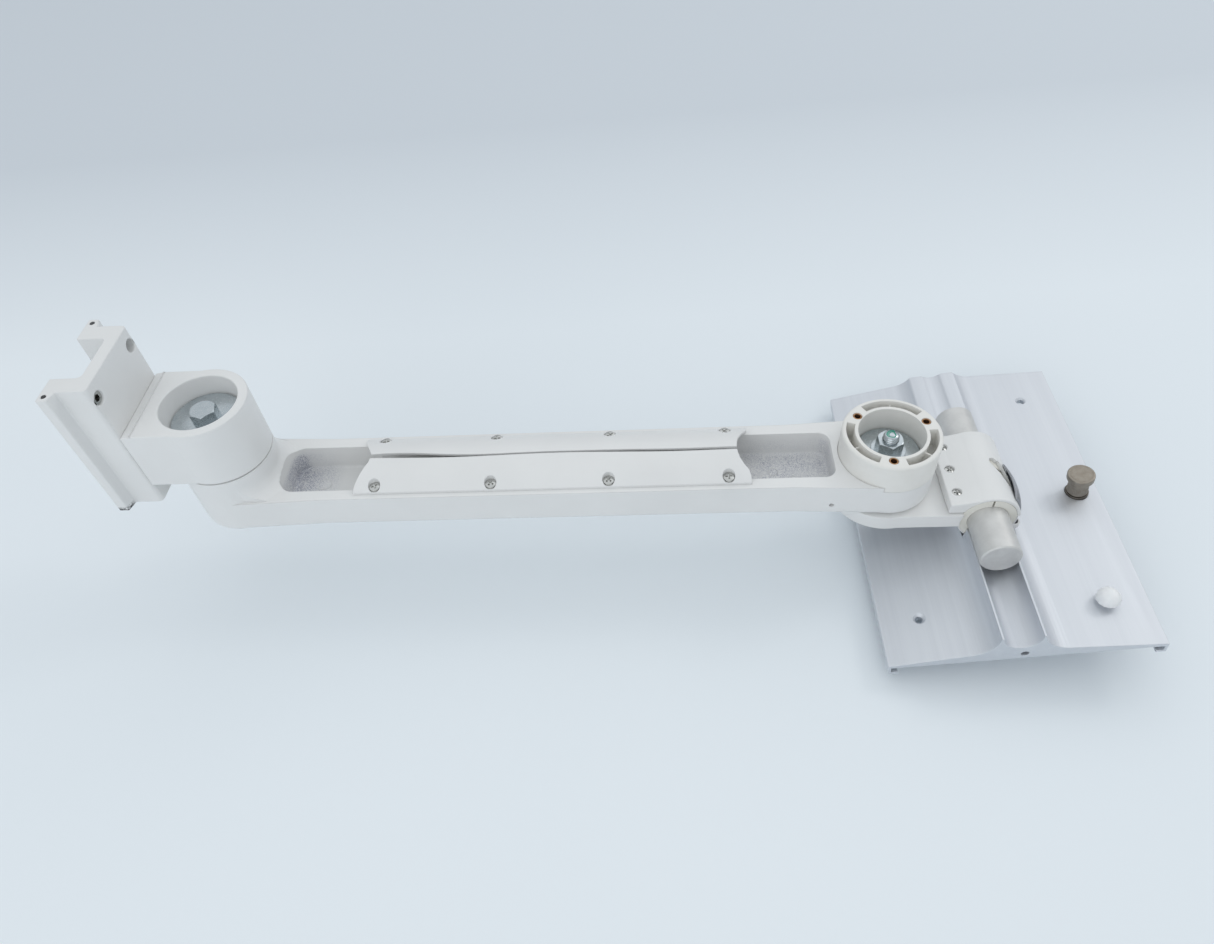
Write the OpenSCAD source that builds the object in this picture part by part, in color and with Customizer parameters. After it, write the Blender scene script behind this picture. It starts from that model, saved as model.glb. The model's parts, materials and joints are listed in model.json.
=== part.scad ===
// Articulated wall arm with a tilting slide-in plate.
// Origin: middle of the wall slider's rear face. +X runs out along the arm,
// +Z runs along the wall channel, and the swing joints turn about Z.

/* [Wall bracket] */
// Height of the bracket along the wall channel
bracket_h = 92.7; // [80:0.1:120]
// Depth of the bracket from the wall face to the face that the hub block meets
bracket_d = 25.3; // [24:0.1:30]
// Width of the slider flange that runs in the channel
flange_w = 69; // [66:0.1:74]
// Thickness of the slider flange
flange_t = 6.1; // [5:0.1:7]
// Width of the bracket body
bracket_w = 55.8; // [54:0.1:57.6]
// Width of the open slot in the back of the bracket
slot_w = 33.2; // [28:0.1:35]
// Depth of the open slot
slot_d = 17.4; // [15:0.1:18]
// Radius of the two lock screw bores
lock_bore_r = 4; // [3:0.1:4.5]
// Distance of the lock screw bores from the bracket's middle plane
lock_y = 22; // [21.5:0.1:22.5]
// Height of the lock screw bores above the bracket's middle
lock_z = 35.9; // [30:0.1:38]

/* [Swing hub] */
// Distance from the wall face to the swing axis
hub_x = 61.8; // [61:0.1:70]
// Radius of the round end of the hub block
hub_r = 28.8; // [28.5:0.1:29]
// Height of the hub block
hub_h = 41.2; // [40:0.1:42]
// Radius of the recess at its mouth
recess_r = 22.8; // [22:0.1:23]
// Radius of the pivot bolts
bolt_r = 4.76; // [4.7:0.01:4.8]
// Outer radius of the steel pivot sleeves
sleeve_r = 10; // [9.5:0.1:10.5]

/* [Arm] */
// Distance between the two swing axes
reach = 406.4; // [380:0.1:450]
// Half width of the beam
beam_hw = 26; // [25.5:0.1:26.5]
// Height of the beam's side walls
wall_h = 25.4; // [25:0.1:26]
// Height of the boss under the hub block
hub_boss_h = 45; // [44.5:0.1:45]
// Height of the boss at the tip
tip_boss_h = 22; // [21.5:0.1:22]
// Half width of the cable trough
trough_hw = 16.2; // [15:0.1:16.2]
// Height of the trough's floor above the underside
trough_floor = 7; // [5:0.1:9]
// Distance between neighbouring cover screws
screw_pitch = 72; // [70:0.1:74]
// Distance of the cover screws from the arm's middle plane
screw_y = 18.7; // [18.6:0.1:19]

/* [Ring cup] */
// Outer radius of the ring cup
cup_r = 29.2; // [29:0.1:29.4]
// Radius of the cup's opening
cup_bore_r = 19.6; // [19.5:0.1:20]
// Height of the cup's rim above the arm's underside
cup_top = 43; // [42:0.1:44]
// Radius of the circle that the three inserts lie on
insert_pcr = 23; // [22.9:0.1:23.1]
// Radius of the threaded hole in each insert
insert_hole_r = 1.65; // [1.5:0.05:1.8]

/* [Tilt head] */
// Distance from the tip axis to the tilt axis
tilt_dx = 60.2; // [60:0.1:61]
// Depth of the tilt axis below the arm's underside
tilt_dz = 6.8; // [6.5:0.1:7]
// Radius of the rod
rod_r = 12; // [11.9:0.05:12]
// Length of the rod
rod_l = 116; // [112:1:120]
// Outer radius of the split bushings
bush_r = 16.8; // [16.6:0.1:16.9]
// Outer radius of the clamp
clamp_r = 19; // [18.9:0.1:19.1]
// Length of the clamp along the rod
clamp_l = 56.6; // [56:0.1:57]
// Thickness of the head's round flange
head_t = 10.4; // [10:0.1:11]
// Radius of the head's round flange
head_r = 30.5; // [30:0.1:31]

/* [Plate] */
// Tilt of the plate as drawn, right edge up
plate_tilt = 8.4; // [6:0.1:10]
// Width of the plate
plate_w = 151; // [149:0.5:153]
// Length of the plate along the rod
plate_l = 226; // [220:1:230]
// Distance of the plate's middle behind the arm's middle plane
plate_dy = 6.3; // [5:0.1:7]
// Depth of the plate's flat underside below the rod's axis
plate_drop = 29.5; // [29:0.1:30]
// Depth of the C-shaped lips under the plate's long edges
lip_h = 6; // [5.5:0.1:7]
// Half distance between the screw holes across the plate
hole_dx = 52.5; // [50:0.5:54]
// Half distance between the screw holes along the plate
hole_dy = 84; // [80:0.5:88]

/* [Hidden] */
$fn = 64;

white = [0.90, 0.90, 0.88];
cream = [0.93, 0.92, 0.86];
zinc = [0.78, 0.80, 0.82];
alloy = [0.80, 0.82, 0.84];
black = [0.12, 0.12, 0.12];
brass = [0.75, 0.55, 0.25];
steel = [0.60, 0.61, 0.62];
nickel = [0.55, 0.50, 0.42];
nylon = [0.95, 0.95, 0.93];

arm_z = -76.65;
tip_x = hub_x + reach;
gap = 0.6;
hub_base = hub_boss_h + gap;
hub_top = hub_base + hub_h;
hub_floor = 72;
nut_af = 14.3;
bore_fit = 0.05;
cover_x0 = 80;
cover_x1 = 323;
first_screw_x = 93.4;
arch_r = 35.9;
crown_z = 35;
cover_hw = 22.6;
strip_t = 1.9;
plate_x0 = -plate_w / 2 + 3;
plate_x1 = plate_w / 2 + 3;
plunger_x = 65.5;
plunger_y = 5;
barrel_r = 4.95;
barrel_seat_z = 3;
ring_angles = [21, 141, 261];
block_screw_z = [-22, -2];
rod_x = tilt_dx;
ledge_x = 35.4;
cover_screw_y = [-18, 0.5, 19];
rod_screw_y = [-43, 43];
edge_r = 4.5;
ease = 60;
ridge_cut = -15.4;
strap_y = -22;

module at_hub() translate([hub_x, 0, arm_z]) children();
module at_tip() translate([tip_x, 0, arm_z]) children();
module at_tilt() translate([tip_x + tilt_dx, 0, arm_z - tilt_dz]) children();
module at_plate() at_tilt() rotate([0, -plate_tilt, 0]) children();

// Straight tube or disc from z0 to z1
module tube(r, bore, z0, z1) {
    difference() {
        translate([0, 0, z0]) cylinder(r = r, h = z1 - z0);
        translate([0, 0, z0 - 1]) cylinder(r = bore, h = z1 - z0 + 2);
    }
}

module hexagon(af, z0, z1) {
    translate([0, 0, z0]) cylinder(r = af / sqrt(3), h = z1 - z0, $fn = 6);
}

// Hexagon with its top corners turned off
module hex_head(af, z0, z1) {
    intersection() {
        hexagon(af, z0, z1);
        translate([0, 0, z0]) cylinder(r = af / 2 + 1.3, h = z1 - z0 - 0.7);
    }
    intersection() {
        hexagon(af, z1 - 0.7, z1);
        translate([0, 0, z1 - 0.7]) cylinder(r1 = af / 2 + 1.2, r2 = af / 2 - 0.1, h = 0.7);
    }
}

// Socket-head cap screw along +Z with its head's underside at z = 0
module cap_screw(r, length, head_r, head_h) {
    difference() {
        union() {
            cylinder(r = head_r, h = head_h);
            translate([0, 0, -length]) cylinder(r = r, h = length + 0.1);
        }
        translate([0, 0, head_h - head_h * 0.55]) cylinder(r = head_r * 0.55, h = head_h, $fn = 6);
    }
}

// Cross-recessed countersunk or pan screw along +Z with its head's top at z = 0
module cross_screw(r, length, head_r, head_h) {
    difference() {
        union() {
            translate([0, 0, -head_h]) cylinder(r = head_r, h = head_h);
            translate([0, 0, -length]) cylinder(r = r, h = length - head_h + 0.1);
        }
        for (turn = [0, 90]) rotate([0, 0, turn]) translate([-head_r * 0.6, -0.35, -1.2])
            cube([head_r * 1.2, 0.7, 2]);
    }
}

// ---------------------------------------------------------------- wall bracket

module bracket_profile() {
    corner = 3;
    step_x = 8.2;
    difference() {
        union() {
            translate([0, -flange_w / 2]) square([flange_t, flange_w]);
            polygon([[flange_t, -flange_w / 2], [step_x, -bracket_w / 2],
                [step_x, bracket_w / 2], [flange_t, flange_w / 2]]);
            translate([step_x, -bracket_w / 2]) square([bracket_d - step_x - corner, bracket_w]);
            translate([step_x, -bracket_w / 2 + corner])
                square([bracket_d - step_x, bracket_w - 2 * corner]);
            for (side = [-1, 1]) translate([bracket_d - corner, side * (bracket_w / 2 - corner)])
                circle(r = corner);
        }
        translate([-1, -slot_w / 2]) square([slot_d + 1 - corner, slot_w]);
        translate([-1, -slot_w / 2 + corner]) square([slot_d + 1, slot_w - 2 * corner]);
        for (side = [-1, 1]) translate([slot_d - corner, side * (slot_w / 2 - corner)])
            circle(r = corner);
    }
}

module lock_bore_axis(side) translate([0, side * lock_y, lock_z]) rotate([0, 90, 0]) children();

module wall_bracket() color(white) difference() {
    translate([0, 0, -bracket_h / 2]) linear_extrude(bracket_h) bracket_profile();
    for (side = [-1, 1]) lock_bore_axis(side)
        translate([0, 0, -1]) cylinder(r = lock_bore_r, h = bracket_d + 2);
    for (z = block_screw_z) translate([slot_d - 1, 0, z]) rotate([0, 90, 0])
        cylinder(r = 3.05, h = 12);
    for (side = [-1, 1], end = [-1, 1])
        translate([3.4, side * 31, end * (bracket_h / 2 - 6.5)])
            cylinder(r = 1.25, h = 15, center = true);
}

module bracket_end_plugs() color(black) {
    for (side = [-1, 1], end = [-1, 1])
        translate([3.4, side * 31, end * (bracket_h / 2 - 3.5)]) cylinder(r = 1.2, h = 7, center = true);
}

module bracket_lock_screw() color(zinc) {
    lock_bore_axis(-1) difference() {
        translate([0, 0, 3]) cylinder(r = lock_bore_r - bore_fit, h = bracket_d - 4.2);
        translate([0, 0, bracket_d - 7]) cylinder(r = 2.3, h = 8, $fn = 6);
    }
}

// ------------------------------------------------------------------- hub block

module hub_block() color(white) {
    seam_drop = 1.2;
    seam_w = 7;
    at_hub() difference() {
        translate([0, 0, hub_base]) union() {
            cylinder(r = hub_r, h = hub_h, $fn = 96);
            translate([bracket_d - hub_x, -bracket_w / 2, 0]) cube([hub_x - bracket_d, bracket_w, hub_h]);
        }
        translate([0, 0, hub_floor]) cylinder(r1 = 21.6, r2 = recess_r, h = hub_top - hub_floor + 0.01);
        translate([0, 0, hub_base - 1]) cylinder(r = sleeve_r + bore_fit, h = hub_h);
        translate([bracket_d - hub_x - 1, -bracket_w, hub_top - seam_drop]) rotate([0, -9.5, 0])
            translate([-4, 0, 0]) cube([seam_w + 4, bracket_w * 2, 6]);
        for (z = block_screw_z) translate([bracket_d - hub_x - 1, 0, z - arm_z]) rotate([0, 90, 0])
            cylinder(r = 3.05, h = 13);
    }
}

module hub_block_screws() color(steel) {
    for (z = block_screw_z) translate([slot_d, 0, z]) rotate([0, -90, 0]) cap_screw(3, 19, 5, 6);
}

module hub_washer() color(zinc) at_hub() tube(20.6, bolt_r + bore_fit, hub_floor, hub_floor + 2.5);

module hub_bolt() color(zinc) at_hub() rotate([0, 0, -16]) {
    hex_head(nut_af, hub_floor + 2.5, hub_floor + 8.9);
    translate([0, 0, 0.7]) cylinder(r = bolt_r, h = hub_floor + 2);
}

module hub_sleeve() color(steel) at_hub() tube(sleeve_r, bolt_r + bore_fit, 13.5, hub_floor);

module hub_lower_washer() color(zinc) at_hub() tube(12.5, bolt_r + bore_fit, 11, 13.5);

module hub_disc_springs() color(steel) at_hub() difference() {
    union() {
        translate([0, 0, 9.7]) cylinder(r1 = 10, r2 = 7, h = 1.3);
        translate([0, 0, 8.4]) cylinder(r1 = 7, r2 = 10, h = 1.3);
    }
    translate([0, 0, 8]) cylinder(r = bolt_r + bore_fit, h = 4);
}

module hub_nut() color(zinc) at_hub() difference() {
    hexagon(nut_af, 1.2, 8.4);
    cylinder(r = bolt_r + bore_fit, h = 10);
}

// ------------------------------------------------------------------------- arm

// Section of one side of the beam, outer face at y = 0, bottom edge rounded
module side_section(side, round_r) {
    depth = beam_hw - 1;
    translate([side > 0 ? -depth : 0, round_r]) square([depth, wall_h - round_r]);
    translate([side > 0 ? -depth : round_r, 0]) square([depth - round_r, wall_h]);
    translate([-side * round_r, round_r]) circle(r = round_r);
}

// Side wall that eases from a round boss at end_x into the straight beam.
// It starts just inside the boss and runs on into the beam.
module ease_wall(end_x, toward, boss_r, side) {
    start_r = boss_r - 0.18;
    bend = asin((start_r - beam_hw) / ease);
    start_x = start_r * sin(bend);
    start_y = start_r * cos(bend);
    slope = atan2(start_y - beam_hw, ease - start_x);
    run = norm([ease - start_x, start_y - beam_hw]) + 8;
    translate([end_x + toward * start_x, side * start_y, 0]) rotate([0, 0, -toward * side * slope])
        translate([toward > 0 ? 0 : -run, 0, 0]) rotate([90, 0, 90])
        linear_extrude(run) side_section(side, edge_r + 0.4);
}

module beam() {
    translate([0, -20, 0]) cube([reach, 40, wall_h]);
    for (side = [-1, 1]) {
        translate([ease - 9, side * beam_hw, 0]) rotate([90, 0, 90])
            linear_extrude(reach - 2 * ease + 18) side_section(side, edge_r + 0.2);
        ease_wall(0, 1, hub_r, side);
        ease_wall(reach, -1, cup_r, side);
    }
}

// Round boss with its bottom edge rounded
module round_boss(r, h) rotate_extrude($fn = 96) {
    square([r - edge_r, h]);
    translate([0, edge_r]) square([r, h - edge_r]);
    translate([r - edge_r, edge_r]) circle(r = edge_r, $fn = 48);
}

// Slot shape with rounded corners, from x0 to x1
module rounded_slot(x0, x1, half_w, corner) {
    translate([x0 + corner, -half_w]) square([x1 - x0 - 2 * corner, 2 * half_w]);
    translate([x0, -half_w + corner]) square([x1 - x0, 2 * (half_w - corner)]);
    for (x = [x0 + corner, x1 - corner], side = [-1, 1])
        translate([x, side * (half_w - corner)]) circle(r = corner);
}

// Concave sweep from the hub boss down on to the beam
module boss_fillet() {
    sweep = 11;
    sink = 0.25;
    intersection() {
        rotate_extrude($fn = 96) difference() {
            translate([hub_r - 2, wall_h - 2]) square([sweep + 2, sweep + 2]);
            translate([hub_r + sweep, wall_h + sweep - sink]) circle(r = sweep, $fn = 96);
        }
        translate([0, -beam_hw, 0]) cube([60, 2 * beam_hw, 60]);
    }
}

module pivot_bores(boss_h, nut_pocket) {
    translate([0, 0, -1]) cylinder(r = 12, h = boss_h + 2);
    translate([0, 0, boss_h - 1.5]) cylinder(r = 13.6, h = 3);
    translate([0, 0, -1]) cylinder(r = 14, h = 1 + nut_pocket);
}

module cover_screw_axes() {
    for (i = [0:3], side = [-1, 1])
        translate([first_screw_x + i * screw_pitch, side * screw_y, 0]) children();
}

// Cable trough from above: wide at the open ends, narrower under the covers
module trough_outline() {
    end_x = reach - cup_r - 3.5;
    rounded_slot(31, 92, trough_hw + 2, 9);
    rounded_slot(84, end_x - 8, trough_hw, 4);
    rounded_slot(310, end_x, trough_hw + 2, 7);
}

module arm_casting() color(white) at_hub() {
    difference() {
        union() {
            beam();
            round_boss(hub_r, hub_boss_h);
            translate([reach, 0, 0]) round_boss(cup_r, wall_h);
            boss_fillet();
        }
        translate([0, 0, trough_floor]) linear_extrude(40) trough_outline();
        translate([reach, 0, tip_boss_h]) cylinder(r = cup_r + 0.3, h = 40, $fn = 96);
        pivot_bores(hub_boss_h, 15.15);
        translate([reach, 0, 0]) pivot_bores(tip_boss_h, 1.5);
        cover_screw_axes() translate([0, 0, 12]) cylinder(r = 1.5, h = 20);
        translate([371, -beam_hw - 3, 9.5]) rotate([-90, 0, 0]) cylinder(r = 1.5, h = 11);
    }
}

module bushing(z_flange, z_end) {
    low = min(z_flange, z_end);
    high = max(z_flange, z_end);
    flange_z = z_flange < z_end ? z_flange : z_flange - 1.4;
    tube(12 - bore_fit, sleeve_r + bore_fit, low, high);
    tube(13.5, sleeve_r + bore_fit, flange_z, flange_z + 1.4);
}

module hub_bushings() color(cream) at_hub() {
    bushing(13.65, 26);
    bushing(hub_boss_h, 34);
}

module hub_thrust_washer() color(black) at_hub()
    tube(26, sleeve_r + bore_fit, hub_boss_h + 0.05, hub_boss_h + gap - 0.05);

module trough_set_screw() color(steel) at_hub()
    translate([371, -beam_hw + 1, 9.5]) rotate([-90, 0, 0]) difference() {
        cylinder(r = 1.5 - bore_fit, h = 6.5);
        translate([0, 0, -1]) cylinder(r = 0.7, h = 3, $fn = 6);
    }

// ---------------------------------------------------------------------- covers

// The two strips have crept apart near the hub, so the joint between them is not straight
function front_edge(x) = -1.3 + 0.6 * cos(360 * (x - 205) / 130) - 0.9 * max(0, (x - 250) / 55);
function rear_edge(x) = front_edge(x) + 1.3 + 3 * exp(-pow((x - 108) / 32, 2))
    + 0.8 * max(0, min(1, (x - 215) / 40));

// Everything between the beam's top and the covers' arched outer face, y = 0 at the middle plane
module under_arch() intersection() {
    translate([0, crown_z - arch_r]) circle(r = arch_r, $fn = 180);
    translate([-cover_hw, wall_h + 0.02]) square([2 * cover_hw, 20]);
}

module cover_section() difference() {
    under_arch();
    translate([0, crown_z - arch_r]) circle(r = arch_r - strip_t, $fn = 180);
}

// Solid under the same arch, for the screw pads
module cover_pads() intersection() {
    translate([cover_x0, 0, 0]) rotate([90, 0, 90]) linear_extrude(cover_x1 - cover_x0) under_arch();
    cover_screw_axes() translate([0, 0, 20]) cylinder(r = 5.2, h = 20);
}

module cover_blank() {
    difference() {
        union() {
            translate([cover_x0, 0, 0]) rotate([90, 0, 90]) linear_extrude(cover_x1 - cover_x0)
                cover_section();
            cover_pads();
        }
        cover_screw_axes() {
            translate([0, 0, 20]) cylinder(r = 1.65, h = 20);
            translate([0, 0, 27.1]) cylinder(r = 3.7, h = 12);
        }
    }
}

// Slanted left end and S-shaped right end of a strip, from its outer edge to the joint
function left_end(side) = [[cover_x0, side * 23], [cover_x0 + 0.5, side * 19.5],
    [cover_x0 + 2.8, side * 14], [cover_x0 + 6, side * 7.5], [cover_x0 + 8, side * 4]];
function right_end(side) = [[315.7, side * 4.5], [316.6, side * 8], [319, side * 12.5],
    [321.8, side * 16], [cover_x1 - 0.3, side * 19.5], [cover_x1, side * 23]];

module front_cover() color(white) at_hub() intersection() {
    cover_blank();
    linear_extrude(60) polygon(concat(left_end(-1),
        [for (x = [88.5:9:314]) [x, front_edge(x)]], [[315.3, front_edge(315)]], right_end(-1)));
}

module rear_cover() color(white) at_hub() intersection() {
    cover_blank();
    linear_extrude(60) polygon(concat(left_end(1),
        [for (x = [88.5:9:314]) [x, rear_edge(x)]], [[315.3, rear_edge(315)]], right_end(1)));
}

module cover_screws() color(zinc) at_hub() cover_screw_axes()
    translate([0, 0, 29]) cross_screw(1.45, 15, 3.4, 1.85);

// -------------------------------------------------------------------- ring cup

module cup_pocket(start) {
    pocket_arc = 84;
    rotate([0, 0, start]) rotate_extrude(angle = pocket_arc, $fn = 96)
        translate([21.7, 29]) square([4.9, 20]);
}

module ring_cup() color(cream) at_tip() {
    edge = 1.6;
    difference() {
        rotate_extrude($fn = 96) {
            translate([12.9, tip_boss_h + 0.02]) square([cup_r - 12.9, 2.5]);
            translate([cup_bore_r, 24]) square([cup_r - cup_bore_r, cup_top - 24 - edge]);
            translate([cup_bore_r, 24]) square([cup_r - cup_bore_r - edge, cup_top - 24]);
            translate([cup_r - edge, cup_top - edge]) circle(r = edge);
        }
        for (a = ring_angles) {
            cup_pocket(a + 18);
            rotate([0, 0, a]) translate([insert_pcr, 0, 32]) cylinder(r = 2.8, h = 20);
        }
    }
    for (a = ring_angles) rotate([0, 0, a + 60]) translate([21.6, -0.5, 28.9]) cube([5.1, 1, 10.5]);
}

module ring_inserts() color(brass) at_tip() {
    for (a = ring_angles) rotate([0, 0, a]) translate([insert_pcr, 0, 0])
        tube(2.8 - bore_fit, insert_hole_r, 33, cup_top - 0.3);
}

module tip_bushings() color(cream) at_tip() {
    bushing(0.05, 9);
    bushing(tip_boss_h, 13);
}

module tip_thrust_washer() color(black) at_tip() tube(26, sleeve_r + bore_fit, -gap + 0.05, -0.05);

// ------------------------------------------------------------------- tilt head

// Plan of the head: round flange, straight front and rear walls to the clamp
module head_outline() {
    circle(r = head_r, $fn = 96);
    translate([0, -head_r + 0.5]) square([44, 2 * head_r - 1]);
    polygon([[43.9, -head_r + 0.5], [rod_x, -clamp_l / 2], [rod_x, clamp_l / 2], [43.9, head_r - 0.5]]);
}

module along_rod(length) rotate([90, 0, 0]) translate([0, 0, -length / 2]) children();

module head_casting() color(white) at_tip() {
    bush_l = 16;
    difference() {
        union() {
            translate([0, 0, -gap - head_t]) linear_extrude(head_t) head_outline();
            translate([0, 0, -26]) cylinder(r = 17, h = 26 - gap);
            translate([8, -17, -20]) cube([rod_x - 12, 34, 19]);
            translate([rod_x, 0, -tilt_dz]) along_rod(clamp_l) cylinder(r = 17.6, h = clamp_l);
            translate([rod_x, 0, -tilt_dz]) along_rod(clamp_l - 10)
                cylinder(r = clamp_r - 0.2, h = clamp_l - 10);
            translate([rod_x + 13, strap_y - 3.2, -tilt_dz - 13.6]) cube([7.5, 6.4, 3.4]);
            translate([rod_x + 20.5, strap_y, -tilt_dz - 13.6]) cylinder(r = 3.2, h = 3.4);
        }
        // Seat for the bushings, and the space over it that the cover closes
        translate([rod_x, 0, -tilt_dz]) along_rod(clamp_l + 4)
            cylinder(r = bush_r + bore_fit, h = clamp_l + 4);
        translate([rod_x - 19, -40, -gap]) cube([60, 80, 40]);
        translate([rod_x - 1, -40, -tilt_dz + 1.5]) cube([60, 80, 40]);
        translate([0, 0, -50]) cylinder(r = bolt_r + 0.1, h = 60);
        translate([0, 0, -gap - 3]) cylinder(r = sleeve_r + bore_fit, h = 10);
        translate([0, 0, -27]) cylinder(r = 9.5, h = 8.5);
        for (y = cover_screw_y) translate([ledge_x + 5.6, y, -9]) cylinder(r = 1.5, h = 12);
        translate([rod_x + 20.5, strap_y, -40]) cylinder(r = 2.05, h = 60);
    }
}

module tip_sleeve() color(steel) at_tip() tube(sleeve_r, bolt_r + bore_fit, -gap - 3, 24.6);

module tip_bolt() color(zinc) at_tip() {
    rotate([180, 0, 0]) hex_head(nut_af, 18.5, 24.9);
    translate([0, 0, -18.6]) cylinder(r = bolt_r, h = 18.6 + 41.2);
}

module tip_washer() color(zinc) at_tip() tube(18.9, bolt_r + bore_fit, 24.6, 27.1);

module tip_small_washer() color(zinc) at_tip() tube(10.4, bolt_r + bore_fit, 27.1, 29.1);

module tip_nut() color(zinc) at_tip() rotate([0, 0, 30]) difference() {
    hex_head(nut_af, 29.1, 37.4);
    translate([0, 0, 20]) cylinder(r = bolt_r + bore_fit, h = 30);
}

// Section of the ledge that the cover screws go through, drawn round the rod's axis
module ledge_section() {
    shoulder_z = 14.2;
    polygon([[ledge_x - rod_x, tilt_dz], [ledge_x - rod_x, shoulder_z],
        [-18, shoulder_z + 0.6], [-6.5, 17.7], [-3, 15], [0, 0]]);
}

module clamp_cover() color(white) at_tip() translate([rod_x, 0, -tilt_dz]) difference() {
    union() {
        along_rod(clamp_l) cylinder(r = clamp_r, h = clamp_l, $fn = 96);
        along_rod(clamp_l) linear_extrude(clamp_l) ledge_section();
    }
    along_rod(clamp_l + 2) cylinder(r = bush_r + bore_fit, h = clamp_l + 2);
    // Everything below the joint with the head
    translate([-60, -40, -60]) cube([59, 80, 60 + tilt_dz + 0.05]);
    translate([-10, -40, -60]) cube([60, 80, 60 + 2]);
    // Hollow under the shoulder
    translate([ledge_x - rod_x + 9.5, -clamp_l / 2 + 3, tilt_dz - 1])
        cube([6, clamp_l - 6, 5.5]);
    // Round-ended notch that the strap comes out of
    rotate([0, 23.5, 0]) translate([0, 3, 10]) cylinder(r = 3.2, h = 30);
    rotate([0, 23.5, 0]) translate([0, 3, 10]) rotate([0, 0, -58]) translate([0, -3.2, 0])
        cube([18, 8, 30]);
    for (y = cover_screw_y) translate([ledge_x - rod_x + 5.6, y, 0]) {
        cylinder(r = 1.7, h = 30);
        translate([0, 0, 13]) cylinder(r = 3, h = 30);
    }
}

module clamp_cover_screws() color(zinc) at_tip() translate([rod_x, 0, -tilt_dz])
    for (y = cover_screw_y) translate([ledge_x - rod_x + 5.6, y, 14.2])
        cross_screw(1.45, 15, 2.8, 1.2);

// Split sleeve that the rod turns in
module split_bushing(y0, y1) color(cream) at_tip() translate([rod_x, 0, -tilt_dz]) difference() {
    translate([0, y1, 0]) rotate([90, 0, 0]) cylinder(r = bush_r, h = y1 - y0);
    translate([0, y1 + 1, 0]) rotate([90, 0, 0]) cylinder(r = rod_r + bore_fit, h = y1 - y0 + 2);
    translate([-0.6, y0 - 1, 0]) cube([1.2, y1 - y0 + 2, 30]);
}

module front_split_bushing() split_bushing(-clamp_l / 2, -1);
module rear_split_bushing() split_bushing(1, clamp_l / 2);

// Crowned steel strap round the outside of the clamp
module tension_strap() color(steel) at_tip() translate([rod_x, 0, -tilt_dz]) {
    crown_r = 52;
    strap_t = 1.1;
    mid_y = -10;
    half_w = 14;
    outer_r = 22.2;
    translate([0, mid_y, 0]) rotate([90, 0, 0]) rotate([0, 0, -24])
        rotate_extrude(angle = 68, $fn = 96) intersection() {
            difference() {
                translate([outer_r - crown_r, 0]) circle(r = crown_r, $fn = 180);
                translate([outer_r - crown_r, 0]) circle(r = crown_r - strap_t, $fn = 180);
            }
            translate([0, -half_w]) square([40, 2 * half_w]);
        }
}

module tension_screw() color(black) at_tip() translate([rod_x + 20.5, strap_y, -tilt_dz - 13.4])
    difference() {
        cylinder(r = 2, h = 3.8);
        translate([0, 0, -1]) cylinder(r = 1.1, h = 2.6, $fn = 6);
    }

// --------------------------------------------------------------- rod and plate

module rod() color(alloy) at_plate() {
    edge = 0.8;
    difference() {
        rotate([90, 0, 0]) translate([0, 0, -rod_l / 2]) union() {
            translate([0, 0, edge]) cylinder(r = rod_r, h = rod_l - 2 * edge);
            cylinder(r1 = rod_r - edge, r2 = rod_r, h = edge);
            translate([0, 0, rod_l - edge]) cylinder(r1 = rod_r, r2 = rod_r - edge, h = edge);
        }
        for (y = rod_screw_y) translate([0, y, -rod_r - 1]) cylinder(r = 2.5, h = 13);
    }
}

// Section of the plate across the rod, drawn round the rod's axis
module plate_section() {
    crest_x = 10.4;
    crest_z = -6.6;
    flank_r = 17;
    flank_x = 28;
    edge_z = -plate_drop + 2.4;
    roof_z = -22.3;
    groove_r = 10.6;
    bottom = -plate_drop;
    foot = bottom - lip_h;
    lip_t = 1.6;
    lip_in = 5.4;
    difference() {
        polygon([[plate_x0, foot], [plate_x0, edge_z], [-flank_x, roof_z], [-flank_x, crest_z],
            [flank_x, crest_z], [flank_x, roof_z], [plate_x1, edge_z], [plate_x1, foot],
            [plate_x1 - lip_in, foot], [plate_x1 - lip_in, foot + lip_t],
            [plate_x1 - lip_t, foot + lip_t], [plate_x1 - lip_t, bottom],
            [plate_x0 + lip_t, bottom], [plate_x0 + lip_t, foot + lip_t],
            [plate_x0 + lip_in, foot + lip_t], [plate_x0 + lip_in, foot]]);
        for (side = [-1, 1]) translate([side * (flank_x + 0.6), roof_z + flank_r - 0.03])
            circle(r = flank_r, $fn = 96);
        translate([0, -7.2]) circle(r = groove_r, $fn = 96);
        translate([2.5, -24.6]) circle(r = 2.2);
    }
}

module plate_holes() {
    for (x = [-hole_dx, hole_dx], y = [-hole_dy, hole_dy])
        translate([3 + x, plate_dy + y, -plate_drop]) children();
}

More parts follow.
